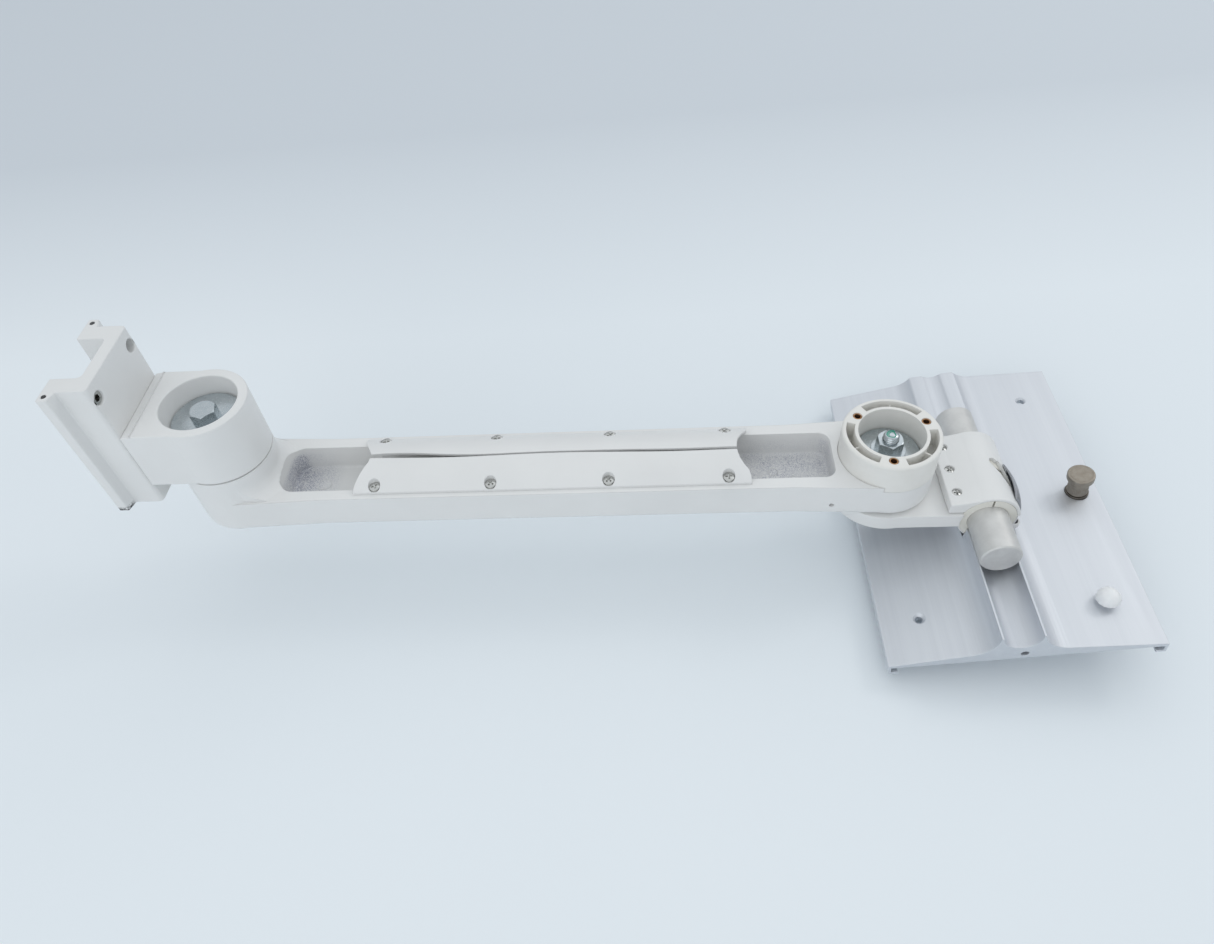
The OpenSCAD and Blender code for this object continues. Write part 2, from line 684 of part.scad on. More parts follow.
module plate() color(alloy) at_plate() difference() {
    translate([0, plate_dy + plate_l / 2, 0]) rotate([90, 0, 0]) linear_extrude(plate_l)
        plate_section();
    // Saddle milled across the ridge so that the clamp can turn
    rotate([90, 0, 0]) translate([0, 0, -clamp_l / 2 - 0.6])
        cylinder(r = clamp_r + 0.7, h = clamp_l + 1.2);
    translate([0, -clamp_l / 2 - 0.6, -19.7]) cube([30, clamp_l + 1.2, 30]);
    // Ridge cut down behind the clamp
    translate([-30, clamp_l / 2, ridge_cut]) cube([60, plate_l, 20]);
    plate_holes() translate([0, 0, -1]) cylinder(r = 2.2, h = 12);
    plate_holes() translate([0, 0, 3.1]) cylinder(r1 = 2.2, r2 = 3.9, h = 1.7);
    plate_holes() translate([0, 0, 4.79]) cylinder(r = 3.9, h = 8);
    for (y = rod_screw_y) translate([0, y, -plate_drop - 1]) {
        cylinder(r = 2.6, h = 30);
        cylinder(r = 5.2, h = 6);
    }
    translate([plunger_x, plunger_y, -plate_drop - 1]) cylinder(r = barrel_r + bore_fit, h = 20);
    // Spot face that the barrel's flange sits on
    translate([plunger_x, plunger_y, -plate_drop + barrel_seat_z]) cylinder(r = 7.2, h = 8);
}

module rod_screws() color(steel) at_plate() {
    for (y = rod_screw_y) translate([0, y, -plate_drop + 5]) rotate([180, 0, 0])
        cap_screw(2.45, 22, 4.3, 4.5);
}

// Tube that holds the rod up off the low rear ridge
module rod_spacer() color(alloy) at_plate() translate([0, rod_screw_y[1], 0])
    tube(4.5, 2.6, -16.75, -12.05);

// ------------------------------------------------------------- plate furniture

module at_plunger() at_plate() translate([plunger_x, plunger_y, -plate_drop]) children();

// Flanged barrel fixed in the plate
module plunger_barrel() color(nickel) at_plunger() rotate_extrude() polygon([[4.2, 0.2],
    [barrel_r, 0.2], [barrel_r, barrel_seat_z], [6.9, barrel_seat_z], [6.9, 5.2], [4.9, 5.2],
    [4.9, 13], [2.1, 13], [2.1, 11.6], [4.2, 11.6]]);

// Pull knob whose skirt slides on the barrel
module plunger_knob() color(nickel) at_plunger() {
    head_z = 17;
    rotate_extrude() {
        translate([0, head_z]) square([8, 3.4]);
        translate([0, head_z]) square([7.2, 4.2]);
        translate([7.2, head_z + 3.4]) circle(r = 0.8);
        translate([0, 13.8]) square([6.15, 3.3]);
        translate([5.2, 5.6]) square([0.95, 9]);
    }
}

module plunger_pin() color(steel) at_plunger() {
    translate([0, 0, -5]) cylinder(r = 2, h = 18.75);
    translate([0, 0, 1]) cylinder(r = 4.1, h = 1.2);
}

module plunger_spring() color(steel) at_plunger() tube(3.9, 2.6, 2.3, 11.5);

module nylon_screw() color(nylon) at_plate() translate([3 + hole_dx, plate_dy - hole_dy, -plate_drop]) {
    translate([0, 0, -4.5]) cylinder(r = 2.1, h = 13);
    translate([0, 0, 8]) rotate_extrude() intersection() {
        translate([0, 0.4]) circle(r = 6.8);
        square([6.8, 8]);
    }
}

wall_bracket();
bracket_end_plugs();
bracket_lock_screw();
hub_block();
hub_block_screws();
hub_washer();
hub_bolt();
hub_sleeve();
hub_lower_washer();
hub_disc_springs();
hub_nut();
arm_casting();
hub_bushings();
hub_thrust_washer();
front_cover();
rear_cover();
cover_screws();
trough_set_screw();
ring_cup();
ring_inserts();
tip_bushings();
tip_thrust_washer();
head_casting();
tip_sleeve();
tip_bolt();
tip_washer();
tip_small_washer();
tip_nut();
clamp_cover();
clamp_cover_screws();
front_split_bushing();
rear_split_bushing();
tension_strap();
tension_screw();
rod();
plate();
rod_screws();
rod_spacer();
plunger_barrel();
plunger_knob();
plunger_pin();
plunger_spring();
nylon_screw();
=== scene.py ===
import bpy
import bmesh
import json
import math
import random
from mathutils import Matrix, Vector


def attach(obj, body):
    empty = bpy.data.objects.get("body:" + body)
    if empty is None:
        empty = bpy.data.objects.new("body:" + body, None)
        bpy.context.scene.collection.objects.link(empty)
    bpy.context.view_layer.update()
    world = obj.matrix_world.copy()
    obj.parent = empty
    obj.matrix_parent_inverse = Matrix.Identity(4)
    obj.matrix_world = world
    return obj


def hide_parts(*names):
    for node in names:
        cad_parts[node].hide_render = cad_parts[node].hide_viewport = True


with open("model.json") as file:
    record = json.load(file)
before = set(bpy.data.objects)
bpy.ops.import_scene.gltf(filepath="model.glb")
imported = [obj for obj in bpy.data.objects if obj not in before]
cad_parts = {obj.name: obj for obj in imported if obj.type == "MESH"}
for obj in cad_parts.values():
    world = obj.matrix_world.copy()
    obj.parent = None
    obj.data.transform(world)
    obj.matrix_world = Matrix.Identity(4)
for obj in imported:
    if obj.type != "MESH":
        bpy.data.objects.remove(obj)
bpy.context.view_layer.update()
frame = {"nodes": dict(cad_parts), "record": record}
MM = 0.001
WELD = 2e-6
# How near to a plane a point lies when it counts as on it, in metres
ON_PLANE = 2e-5
# Heights above the arm's underside, in millimetres
WALL_TOP = 25.4
TROUGH_FLOOR = 7
BOLT_END = 41.2

# ------------------------------------------------------------------ where things are (CAD frame, metres)
pivots = {j["name"]: Vector(j["pos_m"]) for j in frame["record"]["behaviour"]["joints"] if j.get("pos_m")}
HUB = pivots["arm_swing"]
TIP = pivots["head_swivel"]
ARM_Z = HUB.z
PLATE_TILT = math.radians(8.4)
PLATE = Matrix.Translation(pivots["plate_tilt"]) @ Matrix.Rotation(-PLATE_TILT, 4, "Y")
# Middles of the plunger and the nylon screw on the plate's underside, from the rod's axis
PLUNGER = PLATE @ Matrix.Translation(Vector((65.5, 5, -29.5)) * MM)
NYLON = PLATE @ Matrix.Translation(Vector((55.5, -77.7, -29.5)) * MM)

# ------------------------------------------------------------------ colours that several materials share
WHITE = (0.80, 0.80, 0.79)
WHITE_DARK = (0.765, 0.765, 0.755)


# ------------------------------------------------------------------ material helpers
class Look:
    """A small builder for one procedural material. Its noises are laid out in metres."""

    def __init__(self, name, colour, metallic=0.0, roughness=0.5, **sockets):
        self.material = bpy.data.materials.new(name)
        self.material.use_nodes = True
        self.tree = self.material.node_tree
        self.shader = self.tree.nodes["Principled BSDF"]
        self.shader.inputs["Base Color"].default_value = (*colour, 1)
        self.shader.inputs["Metallic"].default_value = metallic
        self.shader.inputs["Roughness"].default_value = roughness
        for k, v in sockets.items():
            self.shader.inputs[k.replace("_", " ")].default_value = v
        self.where = self.tree.nodes.new("ShaderNodeTexCoord").outputs["Object"]

    def link(self, a, b):
        self.tree.links.new(a, b)

    def mapped(self, scale=(1, 1, 1), rot=(0, 0, 0), loc=(0, 0, 0)):
        n = self.tree.nodes.new("ShaderNodeMapping")
        n.inputs["Location"].default_value = loc
        n.inputs["Rotation"].default_value = rot
        n.inputs["Scale"].default_value = scale
        self.link(self.where, n.inputs["Vector"])
        return n.outputs["Vector"]

    def noise(self, scale, detail=2.0, rough=0.5, vec=None):
        n = self.tree.nodes.new("ShaderNodeTexNoise")
        n.inputs["Scale"].default_value = scale
        n.inputs["Detail"].default_value = detail
        n.inputs["Roughness"].default_value = rough
        self.link(vec or self.where, n.inputs["Vector"])
        return n.outputs["Fac"]

    def voronoi(self, scale):
        """Distance from the nearest of many scattered points."""
        n = self.tree.nodes.new("ShaderNodeTexVoronoi")
        n.inputs["Scale"].default_value = scale
        self.link(self.where, n.inputs["Vector"])
        return n.outputs["Distance"]

    def ramp(self, fac, stops):
        n = self.tree.nodes.new("ShaderNodeValToRGB")
        r = n.color_ramp
        while len(r.elements) < len(stops):
            r.elements.new(0.5)
        for e, (p, c) in zip(r.elements, stops):
            e.position = p
            e.color = (*c, 1)
        self.link(fac, n.inputs["Fac"])
        return n.outputs["Color"]

    def span(self, fac, lo, hi, a=0.0, b=1.0):
        """Maps lo..hi to a..b and holds it there."""
        n = self.tree.nodes.new("ShaderNodeMapRange")
        for i, v in zip((1, 2, 3, 4), (lo, hi, a, b)):
            n.inputs[i].default_value = v
        self.link(fac, n.inputs[0])
        return n.outputs[0]

    def math(self, op, a, b=0.0):
        n = self.tree.nodes.new("ShaderNodeMath")
        n.operation = op
        for i, v in enumerate((a, b)):
            if isinstance(v, (int, float)):
                n.inputs[i].default_value = v
            else:
                self.link(v, n.inputs[i])
        return n.outputs[0]

    def times(self, first, *others):
        """Product of two or more values."""
        for v in others:
            first = self.math("MULTIPLY", first, v)
        return first

    def near(self, place, centre, half, soft):
        """1 where place is within half of centre, fading to 0 over soft. Millimetres."""
        away = self.math("ABSOLUTE", self.math("SUBTRACT", place, centre * MM))
        return self.span(away, half * MM, (half + soft) * MM, 1, 0)

    def mix(self, fac, a, b):
        """Colour a where fac is 0, colour b where it is 1."""
        n = self.tree.nodes.new("ShaderNodeMix")
        n.data_type = "RGBA"
        for key, v in ((0, fac), (6, a), (7, b)):
            if isinstance(v, (int, float)):
                n.inputs[key].default_value = v
            elif isinstance(v, tuple):
                n.inputs[key].default_value = (*v, 1)
            else:
                self.link(v, n.inputs[key])
        return n.outputs[2]

    def split(self, vec=None):
        n = self.tree.nodes.new("ShaderNodeSeparateXYZ")
        self.link(vec or self.where, n.inputs[0])
        return n.outputs

    def colour(self, c):
        self.link(c, self.shader.inputs["Base Color"])

    def rough(self, f):
        self.link(f, self.shader.inputs["Roughness"])

    def bump(self, height, strength, distance, after=None):
        """Relief of that height. after is a normal that it is laid over."""
        n = self.tree.nodes.new("ShaderNodeBump")
        n.inputs["Strength"].default_value = strength
        n.inputs["Distance"].default_value = distance
        self.link(height, n.inputs["Height"])
        if after:
            self.link(after, n.inputs["Normal"])
        self.link(n.outputs["Normal"], self.shader.inputs["Normal"])

    def edge(self, radius):
        """A normal that turns round edges as if they had this radius."""
        n = self.tree.nodes.new("ShaderNodeBevel")
        n.samples = 4
        n.inputs["Radius"].default_value = radius
        return n.outputs["Normal"]


# ------------------------------------------------------------------ materials
def powder_coat(name):
    """Satin off-white powder coat: faint orange peel, slow tone drift, tiny specks.
    Gives the material's builder and its colour, for a coat that is worn somewhere."""
    look = Look(name, WHITE, roughness=0.42, Coat_Weight=0.15, Coat_Roughness=0.35)
    drift = look.noise(22, 3, 0.55)
    fine = look.noise(900, 2, 0.6)
    specks = look.span(look.voronoi(620), 0.03, 0.10, 1, 0)
    base = look.ramp(drift, [(0.25, WHITE_DARK), (0.6, WHITE)])
    shade = tuple(c * 0.90 for c in WHITE_DARK)
    grained = look.mix(look.times(fine, 0.12), base, shade)
    coat = look.mix(look.times(specks, 0.10), grained, shade)
    look.rough(look.span(look.noise(140, 3, 0.6), 0.3, 0.7, 0.36, 0.5))
    look.bump(fine, 0.10, 0.0003, look.edge(0.0005))
    look.colour(coat)
    return look, coat


def bracket_paint():
    """The same coat, chipped to dark metal at the lower front corner of the slider."""
    look, coat = powder_coat("bracket_paint")
    x, y, z = look.split()
    corner = look.times(look.near(z, -46.4, 1.6, 2.4), look.near(y, -34, 3, 3))
    flakes = look.span(look.noise(420, 4, 0.7), 0.44, 0.48)
    bare_metal = (0.05, 0.05, 0.055)
    look.colour(look.mix(look.times(corner, flakes), coat, bare_metal))
    return look.material


def arm_paint():
    """Dark, speckled patches in the cable trough near its ends: a sparse coat where the spray hardly
    reached, and painted shade in the trough.
    """
    look, coat = powder_coat("arm_paint")
    x, y, z = look.split()
    under_rim = look.span(z, ARM_Z + 19 * MM, ARM_Z + 23 * MM, 1, 0)
    over_floor = look.span(z, ARM_Z + 5 * MM, ARM_Z + 6 * MM)
    past_hub = look.span(x, HUB.x + 30 * MM, HUB.x + 31 * MM)
    before_tip = look.span(x, HUB.x + 374 * MM, HUB.x + 375 * MM, 1, 0)
    in_trough = look.times(look.near(y, 0, 17.4, 1.2), under_rim, over_floor, past_hub, before_tip)
    hub_end = look.span(x, HUB.x + 33 * MM, HUB.x + 62 * MM, 1, 0)
    tip_end = look.times(look.span(x, HUB.x + 300 * MM, HUB.x + 330 * MM), 0.5)
    patch = look.span(look.noise(60, 3, 0.6), 0.35, 0.62)
    speckle = look.span(look.noise(1500, 3, 0.75), 0.42, 0.62)
    at_ends = look.math("MAXIMUM", hub_end, tip_end)
    sparse_coat_and_shade = look.times(in_trough, at_ends, look.math("ADD", patch, 0.6), speckle)
    # Bluish dark colour: partly bare casting under the sparse coat, partly painted shade on the trough's
    # walls.
    sparse_coat_and_trough_shade = (0.27, 0.28, 0.36)
    look.colour(look.mix(look.math("MINIMUM", sparse_coat_and_shade, 0.9), coat, sparse_coat_and_trough_shade))
    return look.material


def plated(name, colour, tint, rough, lines=0.08):
    """Bright plated steel with fine turning marks and slight tint drift."""
    look = Look(name, colour, metallic=1.0, roughness=0.28)
    cloud = look.noise(260, 3, 0.6)
    fine = look.noise(900, 2, 0.5, look.mapped((1, 1, 6)))
    look.colour(look.mix(look.span(cloud, 0.35, 0.75, 0, 0.6), colour, tint))
    look.rough(look.span(look.noise(500, 3, 0.7), 0.3, 0.7, *rough))
    look.bump(fine, lines, 0.0001, look.edge(0.0002))
    return look.material


def turned(name, colour, tint, place):
    """Metal turned on a lathe round the Z axis of place: fine rings on its faces."""
    look = Look(name, colour, metallic=1.0, roughness=0.36)
    inverse = place.inverted()
    local = look.mapped((1, 1, 1), inverse.to_euler(), inverse.translation)
    x, y, z = look.split(local)
    reach = look.math("SQRT", look.math("ADD", look.times(x, x), look.times(y, y)))
    rings = look.math("SINE", look.times(reach, 14000))
    cloud = look.noise(300, 3, 0.6)
    look.colour(look.mix(look.span(cloud, 0.35, 0.7, 0, 0.85), colour, tint))
    look.rough(look.span(look.noise(700, 3, 0.7), 0.3, 0.7, 0.3, 0.45))
    look.bump(rings, 0.10, 0.00005, look.edge(0.0002))
    return look.material


def moulded(name, colour, dark, rough=0.5):
    """Moulded plastic with a fine mould texture."""
    look = Look(name, colour, roughness=rough, Specular_IOR_Level=0.4)
    drift = look.noise(60, 3, 0.6)
    fine = look.noise(1500, 2, 0.5)
    look.colour(look.mix(look.times(fine, 0.15), look.ramp(drift, [(0.3, dark), (0.65, colour)]), dark))
    look.rough(look.span(look.noise(320, 2, 0.5), 0.3, 0.7, rough - 0.07, rough + 0.08))
    look.bump(fine, 0.06, 0.0002, look.edge(0.0004))
    return look.material


def brushed_aluminium():
    """Extruded plate, brushed along its length."""
    look = Look("brushed_aluminium", (0.74, 0.76, 0.79), metallic=1.0, roughness=0.42)
    along = look.mapped((1, 0.012, 1), (0, PLATE_TILT, 0))
    streak = look.noise(1600, 4, 0.7, along)
    broad = look.noise(240, 3, 0.6, along)
    brushing = look.math("ADD", look.times(streak, 0.6), look.times(broad, 0.4))
    look.colour(look.ramp(brushing, [(0.3, (0.665, 0.685, 0.72)), (0.7, (0.755, 0.775, 0.805))]))
    look.rough(look.span(streak, 0.3, 0.7, 0.48, 0.66))
    look.bump(streak, 0.08, 0.0001, look.edge(0.0003))
    return look.material


def bare_aluminium():
    """Satin anodised rod with faint turning rings round it."""
    look = Look("bare_aluminium", (0.66, 0.655, 0.64), metallic=0.6, roughness=0.5)
    rings = look.noise(420, 3, 0.6, look.mapped((1, 14, 1)))
    look.colour(look.ramp(look.noise(120, 3, 0.6), [(0.3, (0.62, 0.615, 0.60)), (0.7, (0.70, 0.695, 0.68))]))
    look.rough(look.span(rings, 0.3, 0.7, 0.44, 0.58))
    look.bump(rings, 0.08, 0.0001, look.edge(0.0003))
    return look.material


def natural_nylon():
    """Slightly see-through natural nylon."""
    look = Look("nylon", (0.90, 0.92, 0.92), roughness=0.38, Subsurface_Weight=0.7, Transmission_Weight=0.05)
    look.shader.inputs["Subsurface Radius"].default_value = (0.004, 0.004, 0.004)
    look.colour(look.ramp(look.noise(180, 3, 0.6), [(0.3, (0.88, 0.90, 0.91)), (0.7, (0.95, 0.96, 0.96))]))
    look.rough(look.span(look.noise(700, 3, 0.6), 0.3, 0.7, 0.32, 0.46))
    look.bump(look.noise(1200, 2, 0.5), 0.05, 0.0002)
    return look.material


white_paint = powder_coat("white_paint")[0].material
cream = moulded("cream_plastic", (0.83, 0.82, 0.785), (0.79, 0.775, 0.735))
bushing = moulded("bushing_plastic", (0.80, 0.785, 0.73), (0.74, 0.72, 0.65))
black = moulded("black_plastic", (0.06, 0.06, 0.064), (0.04, 0.04, 0.04), 0.45)
thread_lock = moulded("thread_lock", (0.02, 0.34, 0.22), (0.01, 0.22, 0.15), 0.3)
zinc = plated("zinc_steel", (0.56, 0.60, 0.62), (0.44, 0.50, 0.53), (0.16, 0.30), 0.06)
chrome = plated("screw_chrome", (0.60, 0.60, 0.58), (0.48, 0.48, 0.47), (0.12, 0.26))
plain_steel = plated("plain_steel", (0.42, 0.43, 0.45), (0.33, 0.34, 0.36), (0.3, 0.45))
dark_steel = plated("dark_steel", (0.06, 0.06, 0.065), (0.03, 0.03, 0.03), (0.3, 0.45))
brass = plated("brass_inserts", (0.58, 0.32, 0.16), (0.30, 0.15, 0.07), (0.25, 0.4))
# Near-black brass for the inserts' threaded bores: painted shade deep inside them.
brass_bore_shade = plated("brass_bore_shade", (0.07, 0.035, 0.02), (0.03, 0.015, 0.01), (0.4, 0.6))
nickel = turned("nickel", (0.34, 0.305, 0.26), (0.27, 0.235, 0.195), PLUNGER)
dark_nickel = turned("dark_nickel", (0.16, 0.145, 0.125), (0.09, 0.08, 0.07), PLUNGER)
plate_metal = brushed_aluminium()
rod_metal = bare_aluminium()
nylon = natural_nylon()

SLOT_LOOKS = {
    "white_paint": white_paint, "cream_plastic": cream, "black_plastic": black, "zinc_steel": zinc,
    "plain_steel": plain_steel, "dark_steel": dark_steel, "brass_inserts": brass,
    "bare_aluminium": rod_metal, "brushed_aluminium": plate_metal, "nickel": nickel, "nylon": nylon,
}
NODE_LOOKS = {
    "wall_bracket": bracket_paint(), "arm_casting": arm_paint(), "cover_screws": chrome,
    "clamp_cover_screws": chrome, "front_split_bushing": bushing, "rear_split_bushing": bushing,
    "bracket_lock_screw": chrome, "trough_set_screw": black,
}
slot_of = {s["node"]: s["material_slot"] for s in frame["record"]["subparts"]}
body_of = {n: b for b, nodes in frame["record"]["behaviour"]["bodies"].items() for n in nodes}


def look_of(node):
    return NODE_LOOKS.get(node) or SLOT_LOOKS[slot_of[node]]


for node, obj in frame["nodes"].items():
    look = look_of(node)
    if not obj.data.materials:
        obj.data.materials.append(look)
    for s in obj.material_slots:
        s.link = "OBJECT"
        s.material = look


# ------------------------------------------------------------------ mesh helpers
def to_object(name, bm, look, body, smooth=38):
    bm.normal_update()
    me = bpy.data.meshes.new(name)
    bm.to_mesh(me)
    bm.free()
    for p in me.polygons:
        p.use_smooth = True
    me.set_sharp_from_angle(angle=math.radians(smooth))
    me.materials.append(look)
    o = bpy.data.objects.new(name, me)
    bpy.context.scene.collection.objects.link(o)
    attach(o, body)
    return o


def even(o):
    """Shades wide faces flat up to the rounded edges beside them."""
    w = o.modifiers.new("even_normals", "WEIGHTED_NORMAL")
    w.keep_sharp = True
    w.weight = 80


def cad_copy(node):
    """The CAD surface welded, without the lines inside its flat faces."""
    bm = bmesh.new()
    bm.from_mesh(frame["nodes"][node].data)
    bmesh.ops.remove_doubles(bm, verts=bm.verts, dist=WELD)
    bmesh.ops.dissolve_limit(bm, angle_limit=math.radians(0.3), verts=bm.verts, edges=bm.edges,
                             use_dissolve_boundaries=False)
    return bm


def soften(bm, width, segments, pick=None, angle=32):
    """Rounds the hard edges that pick accepts, by width millimetres."""
    hard = [e for e in bm.edges if len(e.link_faces) == 2 and e.calc_face_angle(0) > math.radians(angle)
            and (pick is None or pick(e))]
    bmesh.ops.bevel(bm, geom=hard, offset=width * MM, offset_type="OFFSET", segments=segments, profile=0.5,
                    affect="EDGES", clamp_overlap=False, miter_outer="SHARP", miter_inner="SHARP")
    bmesh.ops.remove_doubles(bm, verts=bm.verts, dist=WELD)


def rounded(node, *passes, rings=()):
    """A rounded copy of a CAD node that stands for it. Each pass is (width, segments, pick).
    rings are places along Y, in millimetres, where long facets are divided so that they shade evenly."""
    bm = cad_copy(node)
    for y in rings:
        bmesh.ops.bisect_plane(bm, geom=bm.verts[:] + bm.edges[:] + bm.faces[:], dist=WELD,
                               plane_co=(0, y * MM, 0), plane_no=(0, 1, 0))
    for width, segments, pick in passes:
        soften(bm, width, segments, pick)
    o = to_object(node + "_piece", bm, look_of(node), body_of[node])
    even(o)
    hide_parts(node)


def lathe(bm, profile, place, turns, ripple=None):
    """Turns a closed outline of (radius, height) points in millimetres round the Z axis of place.
    ripple(radius, height, angle) may change a point's radius."""
    rings = []
    for r, z in profile:
        if r < 1e-6:
            rings.append([bm.verts.new(place @ Vector((0, 0, z * MM)))])
            continue
        ring = []
        for k in range(turns):
            t = 2 * math.pi * k / turns
            q = ripple(r, z, t) if ripple else r
            ring.append(bm.verts.new(place @ Vector((q * MM * math.cos(t), q * MM * math.sin(t), z * MM))))
        rings.append(ring)
    for a, b in zip(rings, rings[1:] + rings[:1]):
        if len(a) == 1 and len(b) == 1:
            continue
        for k in range(turns):
            j = (k + 1) % turns
            if len(a) == 1:
                bm.faces.new((a[0], b[j], b[k]))
            elif len(b) == 1:
                bm.faces.new((a[k], a[j], b[0]))
            else:
                bm.faces.new((a[k], a[j], b[j], b[k]))


def finish_piece(name, bm, look, body, slot, *nodes, smooth=38):
    """Makes the object, which stands for the CAD nodes named, if any."""
    bmesh.ops.recalc_face_normals(bm, faces=bm.faces)
    o = to_object(name, bm, look, body, smooth)
    if nodes:
        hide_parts(*nodes)


def arc(cr, cz, r, a0, a1, steps):
    """Points on a circle round (cr, cz), from angle a0 to a1 in degrees."""
    return [(cr + r * math.cos(math.radians(a0 + (a1 - a0) * k / steps)),
             cz + r * math.sin(math.radians(a0 + (a1 - a0) * k / steps))) for k in range(steps + 1)]


def sweep(bm, points, radius, sides=8):
    """A round bead along a list of points, closed at both ends."""
    rings = []
    for i, p in enumerate(points):
        along = (points[min(i + 1, len(points) - 1)] - points[max(i - 1, 0)]).normalized()
        side = along.cross(Vector((0, 0, 1))).normalized()
        up = side.cross(along)
        rings.append([bm.verts.new(p + radius * (math.cos(2 * math.pi * k / sides) * side
                                                 + math.sin(2 * math.pi * k / sides) * up))
                      for k in range(sides)])
    for a, b in zip(rings, rings[1:]):
        for k in range(sides):
            j = (k + 1) % sides
            bm.faces.new((a[k], a[j], b[j], b[k]))
    bm.faces.new(rings[0])
    bm.faces.new(rings[-1])


# ------------------------------------------------------------------ which edges are rounded
def both_ends(test):
    """Edges whose two ends both pass the test."""
    return lambda e: all(test(v.co) for v in e.verts)


def level(*heights):
    """Edges that lie flat at these heights above the arm's underside, in millimetres."""
    return both_ends(lambda c: any(abs(c.z - ARM_Z - h * MM) < ON_PLANE for h in heights))


def open_trough_rim(c):
    """The beam's top rim, apart from what the covers hide."""
    flat = abs(c.z - ARM_Z - WALL_TOP * MM) < ON_PLANE
    hidden = HUB.x + 84 * MM < c.x < HUB.x + 318 * MM and abs(c.y) < 20 * MM
    beside_hub = c.x < HUB.x + 64 * MM and abs(c.y) > 20 * MM
    at_tip = c.x > TIP.x - 30 * MM
    return flat and not (hidden or beside_hub or at_tip)


def cover_top(c):
    """The upper edges of the trough covers, without their undersides."""
    return c.z > ARM_Z + 27.2 * MM


def clamp_end(c):
    """The two end faces of the clamp cover."""
    return abs(abs(c.y) - 28.3 * MM) < ON_PLANE


def plate_end(c):
    """The two ends of the extruded plate."""
    return c.y < -106.6 * MM or c.y > 119.2 * MM


# ------------------------------------------------------------------ castings, covers and turned parts
rounded("wall_bracket", (0.8, 3, None))
rounded("hub_block", (0.8, 3, None))
rounded("arm_casting", (2.2, 4, level(TROUGH_FLOOR)), (0.4, 3, both_ends(open_trough_rim)))
rounded("ring_cup", (0.24, 2, None))
rounded("head_casting", (0.3, 3, level(-11, -0.6)))
rounded("clamp_cover", (0.7, 3, both_ends(clamp_end)))
for cover in ("front_cover", "rear_cover"):
    rounded(cover, (0.2, 2, both_ends(cover_top)))
rounded("plate", (0.3, 2, both_ends(plate_end)), rings=(-105, -90, -70, -50, -31.5, 30.5, 60, 90, 117))
for node in ("hub_washer", "tip_washer", "front_split_bushing", "rear_split_bushing"):
    rounded(node, (0.3, 3, None))
for node in ("rod", "tension_strap", "tip_small_washer"):
    rounded(node, (0.2, 2, None))
for node, width in (("hub_bolt", 0.1), ("tip_nut", 0.07), ("bracket_lock_screw", 0.1)):
    rounded(node, (width, 2, None))


# ------------------------------------------------------------------ cross-recessed screws
def cross_head(bm, at, head_r, head_h, turn):
    """Domed head with a tapered cross recess. at is the middle of its top, turn its angle."""
    # Height of the dome, depth of the recess and how much of that depth is gone at the ends of its arms
    dome, depth, taper = 0.45, 1.6, 0.75
    # Half width and reach of the recess's arms, the part of the top whose grid stays square, and grid lines
    # that lie close on either side of the recess's walls, all as shares of the head's radius
    arm_w, arm_l = 0.15, 0.60
    square = 0.63
    marks = (0, 0.07, 0.14, 0.16, 0.22, 0.34, 0.46, 0.59, 0.62, 0.68, 0.78, 0.88, 0.95, 1.0)
    grid = [-m for m in reversed(marks[1:])] + list(marks)

    def top(u, v):
        """A point of the head's top. The square grid turns round towards its rim."""
        a, b = abs(u), abs(v)
        m = max(a, b)
        reach = math.hypot(u, v)
        roundness = min(1.0, max(0.0, (m - square) / (1 - square)))
        circle = m / reach if reach > 0 else 1.0
        k = 1 + (circle - 1) * roundness
        r = reach * k
        in_cross = (a < arm_w and b < arm_l) or (b < arm_w and a < arm_l)
        down = depth * (1 - taper * m / arm_l) if in_cross else 0.0
        z = -dome * r ** 2.6 - down
        x, y = u * k * head_r, v * k * head_r
        c, s = math.cos(turn), math.sin(turn)
        return at + Vector(((x * c - y * s) * MM, (x * s + y * c) * MM, z * MM))

    verts = [[bm.verts.new(top(u, v)) for v in grid] for u in grid]
    n = len(grid)
    for i in range(n - 1):
        for j in range(n - 1):
            bm.faces.new((verts[i][j], verts[i + 1][j], verts[i + 1][j + 1], verts[i][j + 1]))
    rim = [verts[i][0] for i in range(n)] + [verts[n - 1][j] for j in range(1, n)]
    rim += [verts[i][n - 1] for i in range(n - 2, -1, -1)] + [verts[0][j] for j in range(n - 2, 0, -1)]
    low = [bm.verts.new(Vector((v.co.x, v.co.y, at.z - head_h * MM))) for v in rim]
    for i in range(len(rim)):
        j = (i + 1) % len(rim)
        bm.faces.new((rim[i], rim[j], low[j], low[i]))
    bm.faces.new(low)


def cross_screws(node, places, head_r, head_h):
    """M3 screws with their heads' tops at places, each turned to an angle of its own."""
    length, radius, tip_r = 15, 1.45, 0.9
    shank = [(0, -head_h), (radius, -head_h), (radius, 0.6 - length), (tip_r, -length), (0, -length)]
    bm = bmesh.new()
    for at in places:
        cross_head(bm, at, head_r, head_h, random.uniform(0, math.pi / 2))
        lathe(bm, shank, Matrix.Translation(at), 16)
    finish_piece(node + "_piece", bm, look_of(node), body_of[node], slot_of[node], node)


random.seed(7)
first_x, pitch = 93.4, 72
cover_places = [HUB + Vector((first_x + pitch * i, y, 29)) * MM for i in range(4) for y in (-18.7, 18.7)]
clamp_places = [TIP + Vector((41, y, 7.4)) * MM for y in (-18, 0.5, 19)]
cross_screws("cover_screws", cover_places, head_r=3.4, head_h=1.85)
cross_screws("clamp_cover_screws", clamp_places, head_r=2.8, head_h=1.2)


